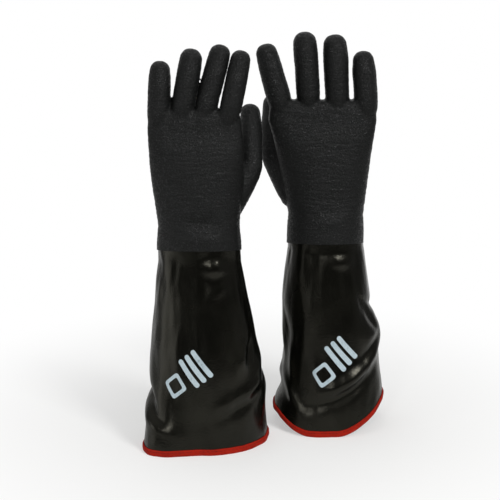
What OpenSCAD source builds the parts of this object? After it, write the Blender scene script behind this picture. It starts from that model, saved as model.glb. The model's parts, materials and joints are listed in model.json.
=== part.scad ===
// A pair of long cold-handling gauntlets, standing upright on their cuff hems.
// Each glove is a rough-coated hand over a padded liner, joined at a wrist lap
// to a smooth flared sleeve whose hem is bound with tape.
// Glove frame: u points to the thumb side, v to the palm side, z up.

/* [Pair] */
// Distance of each hem's inner edge from the middle, to its own side
inner_edge = [-4, 10]; // [-4:0.5:40]
// Distance of each glove's cuff centre from the middle, front to back
pair_depth = [-32.2, 25.8]; // [-60:0.1:60]

/* [Sleeve] */
// Height of the sleeve's top edge above the hem
sleeve_h = 236; // [180:1:300]
// Height of the hand coating's lap over the sleeve
lap_h = 8; // [4:0.5:20]
// Half width of the hem, left and right glove
cuff_half_w = [73, 66]; // [55:0.5:90]
// Half depth of the hem, left and right glove
cuff_half_d = [58, 64.5]; // [50:0.5:90]
// Half width of the sleeve at mid height
calf_half_w = [62, 57.5]; // [48:0.5:80]
// Half depth of the sleeve at mid height
calf_half_d = [47, 50]; // [40:0.5:80]
// Thickness of the smooth sleeve skin
sleeve_skin = 1.4; // [0.8:0.1:2.5]
// Thickness of the sleeve's cloth lining
sleeve_lining = 1.2; // [0.6:0.1:3]
// How far the hem lifts off the table on the thumb side
hem_lift_thumb = [0, 21]; // [0:1:40]
// How far the hem lifts off the table on the little-finger side
hem_lift_little = [0, 33]; // [0:1:40]
// Height over which the lifted hem evens out
hem_lift_fade = 130; // [90:5:200]

/* [Hem binding] */
// Height of the binding tape
binding_h = 7; // [4:0.5:14]
// Thickness of the binding tape
binding_t = 1.2; // [0.6:0.1:2]
// Height of the stitching on the binding, as a share of its height
stitch_row = 0.65; // [0.3:0.05:0.9]
// Length of one stitch
stitch_len = 3.2; // [1.5:0.1:5]
// Thickness of the sewing thread
thread_d = 0.7; // [0.4:0.05:1.2]

/* [Wrist] */
// Half the height of the soft wrist, from the sleeve's top edge to the bending line
wrist_soft = 15; // [12:0.5:25]
// Half width of the wrist
wrist_half_w = [48.5, 44]; // [36:0.5:60]
// Half depth of the wrist
wrist_half_d = [31.5, 36]; // [24:0.5:45]
// Sideways shift of the wrist's centre toward the thumb
wrist_shift = [-5.5, 5]; // [-15:0.5:15]

/* [Hand] */
// Height of the widest part of the palm above the wrist's bending line
palm_rise = 71; // [55:1:90]
// Half width of the palm
palm_half_w = [53.5, 55]; // [45:0.5:65]
// Half depth of the palm
palm_half_d = [26, 25]; // [20:0.5:35]
// Height of the palm's flat top above the wrist's bending line
hand_rise = 120; // [105:1:126]
// How far the palm's top reaches past the outer fingers, left and right glove
knuckle_edge = [1.8, 1.9]; // [1.8:0.1:6]
// Half depth of the hand at the knuckles
knuckle_half_d = 17; // [15:0.5:24]
// Sideways shift of the knuckle row toward the thumb
knuckle_shift = [-9, 10]; // [-20:0.5:20]
// Thickness of the coated shell of the hand
coat_t = 1.6; // [1:0.1:2.4]
// Thickness of the padded liner of the hand
liner_t = 1.8; // [1:0.1:3]

/* [Fingers] */
// Gap between neighbouring finger roots, left and right glove
finger_gap = [2, 8.4]; // [2:0.1:11]
// Height of the index, middle, ring and little knuckle above the wrist's bending line
knuckle_rise = [137, 141, 139, 131]; // [131:0.5:155]
// Length of the left fingers from knuckle line to tip, index to little
left_len = [65.5, 68, 64.5, 58.5]; // [54:0.5:90]
// Length of the right fingers from knuckle line to tip, index to little
right_len = [65, 72.5, 72, 61]; // [54:0.5:90]
// Lean of the left fingers toward the thumb, index to little
left_lean = [10.4, 12.6, 10.6, 2.4]; // [0:0.1:13]
// Lean of the right fingers toward the thumb, index to little
right_lean = [16, 4.2, 3.2, 4.4]; // [0:0.1:17]
// Resting tilt of the finger roots toward the palm, left and right glove
root_tilt = [8, 4]; // [0:1:20]
// Extra resting tilt of the finger ends, left and right glove
end_tilt = [6, 4]; // [0:1:20]
// Radius of the fingers
finger_r = 12.3; // [11.8:0.1:12.6]
// Share of a finger's length below its middle joint
root_share = 0.48; // [0.44:0.01:0.55]

/* [Thumb] */
// Thumb pivot: to the side of the knuckle row's middle, to the palm side, above the bending line
thumb_at = [56, 20, 67]; // [0:1:80]
// Extra side offset of the thumb pivot, left and right glove
thumb_out = [5.5, 0]; // [-6:0.5:9]
// Where the thumb's neck meets the palm, from its pivot: to the side, front to back, and down
thumb_neck = [-27, -17, -42]; // [-60:1:0]
// Turn of the thumb's bending plane toward the fingers
thumb_turn = 20; // [0:1:40]
// Lean of the thumb away from the palm, left and right glove
thumb_lean = [10, 10]; // [0:1:30]
// Tilt of the thumb toward the palm side
thumb_tilt = 26; // [10:1:40]
// Length of the thumb from its pivot to its tip
thumb_len = 75; // [62:0.5:95]
// Radius of the thumb
thumb_r = 12.6; // [12:0.1:13.5]

/* [Joints and fits] */
// How far a finger root bends back from rest
bend_back = 10; // [0:1:15]
// How far a finger root bends in from rest
bend_in = 50; // [20:1:52]
// Bend of a finger's end for one degree at its root
curl_ratio = 1.1; // [0.8:0.05:1.2]
// Gap between a joint ball and its seat
ball_gap = 0.35; // [0.2:0.05:0.6]
// Wall of a joint seat
seat_wall = 1.2; // [0.9:0.1:1.6]
// Wall of a finger shell
finger_wall = 1.5; // [1:0.1:1.8]
// Thickness of a finger liner
finger_liner = 1.3; // [0.6:0.1:2]
// Gap left at each end of the soft wrist
soft_gap = 0.2; // [0.1:0.05:0.5]

/* [Hidden] */
sides = ["left", "right"];
digits = ["thumb", "index", "middle", "ring", "little"];
node = "all";
ring_n = 36;
over = 1;
limit_margin = 2;
rest_gap = 0.05;
coat_col = [0.13, 0.14, 0.13];
sleeve_col = [0.05, 0.05, 0.045];
liner_col = [0.62, 0.60, 0.55];
binding_col = [0.66, 0.11, 0.05];
thread_col = [0.55, 0.09, 0.05];
$fn = 64;

soft_low = sleeve_h;
wrist_z = soft_low + wrist_soft;
soft_high = wrist_z + wrist_soft;
palm_z = wrist_z + palm_rise;
hand_top_z = wrist_z + hand_rise;
knuckle_z = [for (rise = knuckle_rise) wrist_z + rise];
pair_side = cuff_half_w + inner_edge;
finger_pitch = [for (gap = finger_gap) 2 * finger_r + gap];
knuckle_half_w = [for (g = [0, 1]) 1.5 * finger_pitch[g] + finger_r + knuckle_edge[g]];
lap_t = coat_t;
body_t = sleeve_skin + sleeve_lining;

NODES = [
    for (side = sides)
        each concat(
            [for (p = ["gauntlet", "gauntlet_lining", "cuff_binding", "binding_stitching"]) str(side, "_", p)],
            [for (p = ["wrist_lap", "wrist_flex", "wrist_flex_liner", "palm_shell", "palm_liner"])
                str(side, "_", p)],
            [for (d = digits)
                for (p = ["base_shell", "base_liner", "tip_shell", "tip_liner"])
                    str(side, "_", d, "_", p)]
        )
];

function wanted(g, piece) = node == "all" || node == str(sides[g], "_", piece);

// ---- sections of the glove at a height ----
function half_w(g, z) = lookup(z, [
    [0, cuff_half_w[g]],
    [sleeve_h / 2, calf_half_w[g]],
    [sleeve_h, wrist_half_w[g]],
    [soft_high, wrist_half_w[g]],
    [palm_z, palm_half_w[g]],
    [hand_top_z, knuckle_half_w[g]]
]);

function half_d(g, z) = lookup(z, [
    [0, cuff_half_d[g]],
    [sleeve_h / 2, calf_half_d[g]],
    [sleeve_h, wrist_half_d[g]],
    [soft_high, wrist_half_d[g]],
    [palm_z, palm_half_d[g]],
    [hand_top_z, knuckle_half_d]
]);

function mid_u(g, z) = lookup(z, [
    [0, 0],
    [sleeve_h, wrist_shift[g]],
    [soft_high, wrist_shift[g]],
    [hand_top_z, knuckle_shift[g]]
]);

// Squareness of the oval: round at the hem, flatter over the hand
function squareness(z) = lookup(z, [[sleeve_h, 1], [soft_high, 1], [palm_z, 0.8], [hand_top_z, 0.72]]);

function bent(c, k) = sign(c) * pow(abs(c), k);

// Lift of the hem at an angle around it: flat at the front and back, high at the sides
function hem_lift(g, z, a) =
    (cos(a) > 0 ? hem_lift_thumb[g] : hem_lift_little[g])
    * pow(max(0, abs(cos(a)) - 0.35) / 0.65, 2)
    * max(0, 1 - z / hem_lift_fade);

// One ring of points, set in by the given thickness from the outer surface
function ring(g, z, inset) = [
    for (i = [0 : ring_n - 1])
        let (a = 360 * (i + 0.5) / ring_n, k = squareness(z))
        [
            mid_u(g, z) + (half_w(g, z) - inset) * bent(cos(a), k),
            (half_d(g, z) - inset) * bent(sin(a), k),
            z + hem_lift(g, z, a)
        ]
];

// ---- lofted solids ----
// Triangles between two rings; a turned band matches the same band seen from the other side
function band(from, to, turned = false) = [
    for (i = [0 : ring_n - 1])
        let (j = (i + 1) % ring_n)
        each turned
            ? [[from + i, to + i, from + j], [to + i, to + j, from + j]]
            : [[from + i, to + j, from + j], [from + i, to + i, to + j]]
];

// A tube from a list of heights, between two insets; open at both ends
module tube(g, heights, outer, inner) {
    n = len(heights);
    points = concat(
        [for (z = heights) each ring(g, z, outer)],
        [for (k = [1 : n]) each ring(g, heights[n - k], inner)]
    );
    loops = 2 * n;
    faces = [
        for (k = [0 : loops - 1])
            each band(k * ring_n, ((k + 1) % loops) * ring_n, k >= n)
    ];
    polyhedron(points, faces);
}

// A closed solid through the same rings
module loft(g, heights, inset) {
    n = len(heights);
    points = [for (z = heights) each ring(g, z, inset)];
    faces = concat(
        [[for (i = [0 : ring_n - 1]) i]],
        [for (k = [0 : n - 2]) each band(k * ring_n, (k + 1) * ring_n)],
        [[for (i = [1 : ring_n]) n * ring_n - i]]
    );
    polyhedron(points, faces);
}

function steps(from, to, n) = [for (k = [0 : n]) from + (to - from) * k / n];

// ---- digits ----
function radius_of(d) = d == 0 ? thumb_r : finger_r;
function length_of(g, d) = d == 0 ? thumb_len : (g == 0 ? left_len : right_len)[d - 1];
function lean_of(g, d) = d == 0 ? thumb_lean[g] : (g == 0 ? left_lean : right_lean)[d - 1];
function tilt_of(g, d) = d == 0 ? thumb_tilt : root_tilt[g];
function turn_of(d) = d == 0 ? thumb_turn : 0;
function root_len(g, d) = length_of(g, d) * root_share;
function end_len(g, d) = length_of(g, d) - root_len(g, d);
function end_radius(d) = radius_of(d) - seat_wall - ball_gap;
function pivot_of(g, d) =
    d == 0
    ? [knuckle_shift[g] + thumb_at.x + thumb_out[g], thumb_at.y, wrist_z + thumb_at.z]
    : [knuckle_shift[g] + (2.5 - d) * finger_pitch[g], 0, knuckle_z[d - 1]];

// How far below its pivot a ball seat's bore begins
function seat_drop(r) = 0.72 * r;

// Frame of a digit's root, its axis along z and its bending line along u
module at_root(g, d)
    translate(pivot_of(g, d))
        rotate([0, 0, turn_of(d)])
            rotate([0, lean_of(g, d), 0])
                rotate([-tilt_of(g, d), 0, 0])
                    children();

// Frame of a digit's end, past its middle joint
module at_end(g, d)
    at_root(g, d)
        translate([0, 0, root_len(g, d)])
            rotate([-end_tilt[g], 0, 0])
                children();

// Room for the next segment to swing between its limits, cut from a seat
module swing_room(r, back, forward) {
    reach = 2 * r;
    half = r + ball_gap + seat_wall / 2;
    drop = seat_drop(r);
    rotate([90, 0, 90])
        translate([0, 0, -half])
            linear_extrude(2 * half)
                polygon([
                    [0, 0],
                    [-reach, -reach * tan(back)],
                    [-reach, reach],
                    [reach, reach],
                    [reach, -drop],
                    [drop / tan(forward), -drop]
                ]);
}

// A joint ball running into a straight finger tube
module ball_and_tube(r, h) {
    sphere(r);
    cylinder(r = r, h = h);
}

// The closed end of a digit, from its ball to its rounded tip
module fingertip(r, h) {
    ball_and_tube(r, h - r);
    translate([0, 0, h - r])
        sphere(r);
}

module middle_seat(g, d) {
    r = end_radius(d);
    translate([0, 0, root_len(g, d)])
        rotate([-end_tilt[g], 0, 0]) {
            sphere(r + ball_gap);
            swing_room(r, bend_back * curl_ratio + limit_margin, bend_in * curl_ratio + limit_margin);
        }
}

module base_shell(g, d) {
    r = radius_of(d);
    h = root_len(g, d);
    color(coat_col)
        at_root(g, d)
            difference() {
                ball_and_tube(r, h);
                translate([0, 0, -r - over])
                    cylinder(r = r - finger_wall, h = h + r + 2 * over);
                middle_seat(g, d);
            }
}

module base_liner(g, d) {
    r = radius_of(d);
    top = root_len(g, d) - seat_drop(end_radius(d)) - over;
    color(liner_col)
        at_root(g, d)
            difference() {
                intersection() {
                    ball_and_tube(r, top);
                    translate([0, 0, -r])
                        cylinder(r = r - finger_wall, h = top + r);
                }
                translate([0, 0, -r - over])
                    cylinder(r = r - finger_wall - finger_liner, h = top + r + 2 * over);
            }
}

module tip_shell(g, d) {
    r = end_radius(d);
    h = end_len(g, d);
    color(coat_col)
        at_end(g, d)
            difference() {
                fingertip(r, h);
                translate([0, 0, -r - over])
                    cylinder(r = r - finger_wall, h = h + over);
                translate([0, 0, h - r])
                    sphere(r - finger_wall);
            }
}

module tip_liner(g, d) {
    r = end_radius(d);
    ri = r - finger_wall;
    rb = ri - finger_liner;
    h = end_len(g, d);
    color(liner_col)
        at_end(g, d)
            difference() {
                union() {
                    intersection() {
                        ball_and_tube(r, h - r);
                        translate([0, 0, -r])
                            cylinder(r = ri, h = h);
                    }
                    translate([0, 0, h - r])
                        sphere(ri);
                }
                translate([0, 0, -r - over])
                    cylinder(r = rb, h = h + over);
                translate([0, 0, h - r])
                    sphere(rb);
            }
}

// ---- hand ----
// Radius of the way from the palm into a digit
function way_r(d) = radius_of(d) * 0.8;

// Depth of a finger's stub below its pivot, down into the palm
function stub_depth(d) = knuckle_z[d - 1] - hand_top_z + coat_t + liner_t;

function socket_r(d) = radius_of(d) + ball_gap + seat_wall;

// The thumb's neck, from a point in its frame's origin along its slope into the palm
module along_neck(g)
    translate(pivot_of(g, 0))
        rotate([
            0,
            acos(thumb_neck.z / norm(thumb_neck)),
            atan2(thumb_neck.y, thumb_neck.x)
        ])
            children();

module stub(g, d)
    if (d == 0)
        along_neck(g)
            ball_and_tube(socket_r(0), norm(thumb_neck));
    else
        at_root(g, d)
            translate([0, 0, -stub_depth(d)])
                cylinder(r = socket_r(d), h = stub_depth(d));

// The way from the palm into a digit, its ball seat and the room it swings in
module stub_bore(g, d) {
    r = radius_of(d);
    if (d == 0)
        along_neck(g)
            cylinder(r = way_r(0), h = norm(thumb_neck) + over);
    else
        at_root(g, d)
            translate([0, 0, -stub_depth(d) - over])
                cylinder(r = way_r(d), h = stub_depth(d) + over);
    at_root(g, d) {
        sphere(r + ball_gap);
        swing_room(r, bend_back + limit_margin, bend_in + limit_margin);
    }
}

// Heights of the hand's rings, its flat top lowered by a thickness
function hand_levels(cut) = concat(
    steps(soft_high, palm_z, 3),
    [
        palm_z + (hand_top_z - palm_z) / 3,
        palm_z + 2 * (hand_top_z - palm_z) / 3,
        hand_top_z - cut
    ]
);

// The room inside the hand, open at the wrist
module hand_room(g, inset)
    loft(g, concat([soft_high - over], hand_levels(inset)), inset);

module palm_shell(g)
    color(coat_col)
        difference() {
            union() {
                loft(g, hand_levels(0), 0);
                for (d = [0 : 4])
                    stub(g, d);
            }
            hand_room(g, coat_t);
            for (d = [0 : 4])
                stub_bore(g, d);
        }

module palm_liner(g)
    color(liner_col)
        difference() {
            loft(g, hand_levels(coat_t), coat_t);
            hand_room(g, coat_t + liner_t);
            for (d = [0 : 4])
                stub_bore(g, d);
        }

// ---- wrist ----
soft_heights = [soft_low + soft_gap, wrist_z, soft_high - soft_gap];

module wrist_flex(g)
    color(coat_col)
        tube(g, soft_heights, 0, coat_t);

module wrist_flex_liner(g)
    color(liner_col)
        tube(g, soft_heights, coat_t, coat_t + liner_t);

module wrist_lap(g)
    color(coat_col)
        tube(g, [sleeve_h - lap_h, sleeve_h], -lap_t, -rest_gap);

// ---- sleeve ----
sleeve_heights = concat([binding_t], steps(binding_h, sleeve_h, 7));

module gauntlet(g)
    color(sleeve_col)
        tube(g, sleeve_heights, 0, sleeve_skin);

module gauntlet_lining(g)
    color(liner_col)
        tube(g, sleeve_heights, sleeve_skin, body_t);

// Tape folded round the hem: an outer leg, a bottom and an inner leg
module cuff_binding(g) {
    path = [
        [binding_h, 0],
        [binding_h, -binding_t],
        [0, -binding_t],
        [0, body_t + binding_t],
        [binding_h, body_t + binding_t],
        [binding_h, body_t],
        [binding_t, body_t],
        [binding_t, 0]
    ];
    n = len(path);
    points = [for (p = path) each ring(g, p[0], p[1])];
    faces = [for (k = [0 : n - 1]) each band(((k + 1) % n) * ring_n, k * ring_n)];
    color(binding_col)
        polyhedron(points, faces);
}

// A row of stitches lying on the outer leg of the binding, two to each flat of the hem
module binding_stitching(g) {
    low = ring(g, binding_h * stitch_row, -binding_t);
    high = ring(g, binding_h, -binding_t);
    color(thread_col)
        for (i = [0 : ring_n - 1])
            for (part = [0.25, 0.75]) {
                along = low[(i + 1) % ring_n] - low[i];
                out = cross(along, high[i] - low[i]);
                translate(low[i] + part * along + out / norm(out) * (thread_d / 2 + rest_gap))
                    rotate([0, 90 - asin(along.z / norm(along)), atan2(along.y, along.x)])
                        cylinder(d = thread_d, h = stitch_len, center = true, $fn = 16);
            }
}

// ---- placing ----
module place(g)
    translate([(g == 0 ? -1 : 1) * pair_side[g], pair_depth[g], 0])
        mirror([g, 0, 0])
            children();

for (g = [0, 1]) {
    if (wanted(g, "gauntlet")) place(g) gauntlet(g);
    if (wanted(g, "gauntlet_lining")) place(g) gauntlet_lining(g);
    if (wanted(g, "cuff_binding")) place(g) cuff_binding(g);
    if (wanted(g, "binding_stitching")) place(g) binding_stitching(g);
    if (wanted(g, "wrist_lap")) place(g) wrist_lap(g);
    if (wanted(g, "wrist_flex")) place(g) wrist_flex(g);
    if (wanted(g, "wrist_flex_liner")) place(g) wrist_flex_liner(g);
    if (wanted(g, "palm_shell")) place(g) palm_shell(g);
    if (wanted(g, "palm_liner")) place(g) palm_liner(g);
    for (d = [0 : 4]) {
        if (wanted(g, str(digits[d], "_base_shell"))) place(g) base_shell(g, d);
        if (wanted(g, str(digits[d], "_base_liner"))) place(g) base_liner(g, d);
        if (wanted(g, str(digits[d], "_tip_shell"))) place(g) tip_shell(g, d);
        if (wanted(g, str(digits[d], "_tip_liner"))) place(g) tip_liner(g, d);
    }
}
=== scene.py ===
"""A pair of long cold-handling gauntlets standing on their hems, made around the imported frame."""
import json
from math import atan2, copysign, cos, degrees, exp, hypot, inf, pi, radians, sin

import bpy
from mathutils import Matrix, Vector, noise


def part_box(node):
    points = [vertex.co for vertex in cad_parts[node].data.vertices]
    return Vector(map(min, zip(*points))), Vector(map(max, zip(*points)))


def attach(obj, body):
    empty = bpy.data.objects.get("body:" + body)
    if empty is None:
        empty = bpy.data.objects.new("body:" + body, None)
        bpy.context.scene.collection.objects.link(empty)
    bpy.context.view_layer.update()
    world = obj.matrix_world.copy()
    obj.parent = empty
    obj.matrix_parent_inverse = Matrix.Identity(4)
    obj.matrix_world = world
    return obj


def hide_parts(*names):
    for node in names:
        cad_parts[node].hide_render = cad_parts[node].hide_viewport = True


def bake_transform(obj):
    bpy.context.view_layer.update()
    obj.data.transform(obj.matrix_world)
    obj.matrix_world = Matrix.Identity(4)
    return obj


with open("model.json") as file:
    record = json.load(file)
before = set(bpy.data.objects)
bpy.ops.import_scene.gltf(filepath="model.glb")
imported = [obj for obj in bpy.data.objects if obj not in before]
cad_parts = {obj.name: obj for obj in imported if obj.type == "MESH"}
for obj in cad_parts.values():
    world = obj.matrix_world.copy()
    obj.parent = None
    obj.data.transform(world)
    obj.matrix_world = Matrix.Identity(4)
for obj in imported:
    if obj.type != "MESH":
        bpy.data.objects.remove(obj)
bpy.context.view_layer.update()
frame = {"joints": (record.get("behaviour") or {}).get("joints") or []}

SIDES = ("left", "right")
DIGITS = ("thumb", "index", "middle", "ring", "little")
FINGERS = DIGITS[1:]

# ---------------------------------------------------------------- sizes: metres, where nothing else is said
MM = 0.001
SKIN = 1.3 * MM            # wall of the coated hand
LINER = 1.2 * MM           # wall of the knit inside the hand
SLEEVE_SKIN = 1.2 * MM     # wall of the smooth sleeve
LINING = 1.0 * MM          # wall of the sleeve's cloth lining
CLEAR = 0.15 * MM          # room between a skin and the cloth inside it
GRID = 1.0 * MM            # spacing of the hand's mesh
ROOT_BLEND = (-7.5 * MM, 10 * MM)    # stretch of a finger's root that bends
THUMB_BLEND = (2 * MM, 20 * MM)
CURL_BLEND = 9 * MM        # half the stretch that bends at a middle joint
END_TILT = {"left": 6, "right": 4}   # resting bend of the middle joints, degrees
LAP_Z = {"left": 0.2270, "right": 0.2190}     # lower edge of the hand's coating, at its sides
SEAM_SLOPE = 0.2           # how much that edge rises toward the front
SIGN = {"left": 1, "right": -1}      # the thumb side is +X on the left glove

# Padded radius of each digit at its root, past its middle and at its end (mm)
PADDING = {
    "left": {"thumb": (13.0, 12.5, 11.8), "index": (12.5, 12.0, 11.3), "middle": (12.6, 12.4, 11.9),
             "ring": (12.8, 13.1, 12.5), "little": (13.0, 12.7, 11.6)},
    "right": {"thumb": (13.0, 12.5, 11.8), "index": (14.0, 13.7, 12.5), "middle": (13.8, 14.3, 13.5),
              "ring": (14.2, 14.6, 13.8), "little": (13.8, 13.9, 12.3)},
}
# How far a soft digit sits from its stiff stand-in, across and back (mm), and its turn in the hand's plane
# (degrees)
SITS = {
    ("left", "thumb"): (1.0, 3.0, 0),
    ("left", "index"): (-0.3, -3.2, 1.5),
    ("left", "middle"): (0, 0.8, 2.0),
    ("right", "thumb"): (-1.5, 2.0, 0),
}
# The left index finger lies against the middle one: it is made this much apart and then turned in, degrees
MADE_APART = {("left", "index"): 7}
WRIST_SLIM = {"left": 0.965, "right": 1.0}   # the soft wrist's width, of its stiff stand-in's
PALM_HALF = {"left": 53.5 * MM, "right": 55 * MM}    # half width of the palm at its widest
LAP_RINGS = (0.204, 0.212, 0.222, 0.232)     # heights of the hand's rings that lie on the sleeve
ROW_END = 12.4 * MM        # how far the row of finger roots runs past the outer fingers' middles
SQUARE_FROM = 0.310        # height from which the palm grows squarer
SQUARE_OVER = 0.050        # and the height over which it does
SQUARENESS = 0.36
WRINKLES_FROM = 0.38       # height of the lowest wrinkles round the fingers
# Gathered creases across the hand: height and spread of each band (m), and its strength
CREASE_BANDS = ((0.262, 0.035, 0.8), (0.335, 0.045, 0.55))
# The ball of the thumb: its foot in the palm, from the thumb's root (mm: in to the palm, forward, down)
MOUND_FOOT = (31, 17, 52)
STANDIN_BALL = {"thumb": 11.05, "finger": 10.75}     # radius of a stiff stand-in's round end, mm
TIP_ANGLES = (0.3, 0.6, 0.85, 1.05, 1.22, 1.36, 1.47)    # rings of a soft digit's end, radians from its side
TIP_BLUNTNESS = 0.82
OWN_SKIN = 3.5 * MM        # skin this near to a digit's padded radius is the digit's own

# Half width and half depth of the soft sleeve halfway up, mm
CALF = {"left": (62, 47), "right": (57.5, 50)}
# How high the hem rises at the thumb's side and at the little finger's, mm
HEM_RISE = {"left": (0, 0), "right": (21, 33)}
HEM_RISE_TO = 0.130        # height at which that rise has faded out
STRAIGHT_TOP = 22 * MM     # the sleeve keeps the wrist's size over this stretch
NOISE_SEED = {"left": 11, "right": 23}
TAPE_WALL = 1.2 * MM       # how far the hem's stiff binding stands past the sleeve
HEM_START = 1.6 * MM       # the skin and the lining begin this far up, inside the tape
TAPE_HEIGHT = 7.4 * MM
TAPE_THICK = 1.0 * MM
STITCHES = 96
STITCH_LENGTH = 3.1 * MM
STITCH_THICK = 0.42 * MM
STITCH_Z = 5.0 * MM
STITCH_OUT = 1.32 * MM     # how far the stitches lie out from the sleeve

INK = 0.12 * MM            # how far the print stands off the sleeve
FRAME_HALF = 11.5 * MM     # half width of the print's frame
BAR_R = 2.9 * MM
BAR_LENGTH = 32 * MM
BAR_STEP = 9.5 * MM
BARS = 3
PRINT_SLANT = radians(-53)
# Angle round the sleeve (degrees) and height (mm) of the print's frame and of its bars
PRINT_AT = {"left": ((241, 80), (263, 101)), "right": ((276, 74), (255, 98))}

WAVE_SPACING = 0.314       # distance between a wave texture's bands at scale 1
FLOOR_REACH = 0.55         # radius of the round of paper
LAMP_AIM = Vector((0, 0, 0.22))
CAMERA_TARGET = Vector((-0.017, 0, 0.217))
CAMERA_DISTANCE = 1.68
CAMERA_RISE = radians(16)
CAMERA_LENS = 104.8        # mm, on a sensor 36 mm wide

joints = {j["name"]: j for j in frame["joints"]}


def middle(node):
    low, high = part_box(node)
    return (low + high) / 2


def half(node):
    low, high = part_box(node)
    return (high - low) / 2


def pivot(side, digit, kind):
    return Vector(joints[f"{side}_{digit}_{kind}"]["pos_m"])


def within(value):
    """A number held between 0 and 1."""
    return min(1, max(0, value))


def ease(t):
    """0 to 1 with a level start and end."""
    return t * t * (3 - 2 * t)


def bell(away):
    """1 at no distance, falling softly to 0."""
    return exp(-away ** 2)


# ---------------------------------------------------------------- objects and modifiers
def only(obj):
    """Selects one object and makes it the active one."""
    bpy.ops.object.select_all(action="DESELECT")
    obj.select_set(True)
    bpy.context.view_layer.objects.active = obj


def use(obj, kind, **settings):
    """Adds a modifier, sets it and applies it."""
    only(obj)
    bpy.ops.object.modifier_add(type=kind)
    modifier = obj.modifiers[-1]
    for name, value in settings.items():
        setattr(modifier, name, value)
    bpy.ops.object.modifier_apply(modifier=modifier.name)


def smooth(obj, edge):
    """Shades an object smooth, but for edges sharper than this (degrees)."""
    only(obj)
    bpy.ops.object.shade_smooth_by_angle(angle=radians(edge))


def join(objects, name):
    bpy.ops.object.select_all(action="DESELECT")
    for obj in objects:
        obj.select_set(True)
    bpy.context.view_layer.objects.active = objects[0]
    if len(objects) > 1:
        bpy.ops.object.join()
    whole = bpy.context.view_layer.objects.active
    whole.name = name
    whole.data.name = name
    return whole


def settle(obj):
    """Puts an object's place into its mesh."""
    only(obj)
    bpy.ops.object.transform_apply(location=True, rotation=True, scale=True)


def copy_of(obj):
    """A copy of an object with a mesh of its own."""
    copy = obj.copy()
    copy.data = obj.data.copy()
    bpy.context.scene.collection.objects.link(copy)
    return copy


def mesh_piece(name, points, faces):
    mesh = bpy.data.meshes.new(name)
    mesh.from_pydata([tuple(p) for p in points], [], faces)
    mesh.update()
    obj = bpy.data.objects.new(name, mesh)
    bpy.context.scene.collection.objects.link(obj)
    return obj


def stacked_rings(name, rings, sides=48):
    """A closed form drawn up from one oval, ring by ring: each ring is (x, y, z, half width, half depth)."""
    x, y, z, w, d = rings[0]
    bpy.ops.object.select_all(action="DESELECT")
    bpy.ops.mesh.primitive_circle_add(vertices=sides, radius=1, fill_type="NGON", location=(x, y, z))
    obj = bpy.context.active_object
    obj.name = name
    obj.scale = (w, d, 1)
    settle(obj)
    bpy.ops.object.mode_set(mode="EDIT")
    bpy.ops.mesh.select_all(action="SELECT")
    for nx, ny, nz, nw, nd in rings[1:]:
        step = (nx - x, ny - y, nz - z)
        bpy.ops.mesh.extrude_region_move(TRANSFORM_OT_translate={"value": step})
        bpy.ops.transform.resize(value=(nw / w, nd / d, 1), center_override=(nx, ny, nz))
        x, y, z, w, d = nx, ny, nz, nw, nd
    bpy.ops.mesh.select_all(action="SELECT")
    bpy.ops.mesh.normals_make_consistent(inside=False)
    bpy.ops.object.mode_set(mode="OBJECT")
    return obj


def tube(name, start, direction, rings):
    """A round form along a direction, from level rings of its own: (x, y, distance, radius)."""
    obj = stacked_rings(name, [(x, y, s, r, r) for x, y, s, r in rings], 40)
    turn = Vector((0, 0, 1)).rotation_difference(direction)
    obj.matrix_world = Matrix.Translation(start) @ turn.to_matrix().to_4x4()
    settle(obj)
    return obj


# ---------------------------------------------------------------- the digits' axes
class Digit:
    """Where a digit lies: its root and middle pivots, its two directions and its length past the middle."""

    def __init__(self, side, name):
        self.name = name
        across, back, turn = SITS.get((side, name), (0, 0, 0))
        shift = Vector((across * MM, back * MM, 0))
        knee = pivot(side, name, "curl")
        axis = Vector(joints[f"{side}_{name}_curl"]["axis"])
        self.root = pivot(side, name, "bend") + shift
        first = knee + shift - self.root
        self.reach = first.length
        self.up = Matrix.Rotation(radians(turn), 3, "Y") @ first.normalized()
        self.end_up = Matrix.Rotation(radians(END_TILT[side]), 3, axis) @ self.up
        self.knee = self.root + self.up * self.reach
        self.radii = [r * MM for r in PADDING[side][name]]
        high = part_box(f"{side}_{name}_tip_shell")[1].z
        ball = STANDIN_BALL["thumb" if name == "thumb" else "finger"] * MM
        self.end_len = (high - ball - knee.z) / self.end_up.z + ball
        self.apart = MADE_APART.get((side, name), 0)
        self.blend = THUMB_BLEND if name == "thumb" else ROOT_BLEND

    def along(self, point):
        """Distance past the root pivot, and from the digit's axis."""
        rel = point - self.root
        s = rel.dot(self.up)
        if s <= self.reach:
            return s, (rel - s * self.up).length
        rel = point - self.knee
        e = rel.dot(self.end_up)
        return s, (rel - e * self.end_up).length

    def opened(self):
        """The turn that holds the digit apart while the hand is made."""
        turn = Matrix.Rotation(radians(self.apart), 4, "Y")
        return Matrix.Translation(self.root) @ turn @ Matrix.Translation(-self.root)


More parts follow.
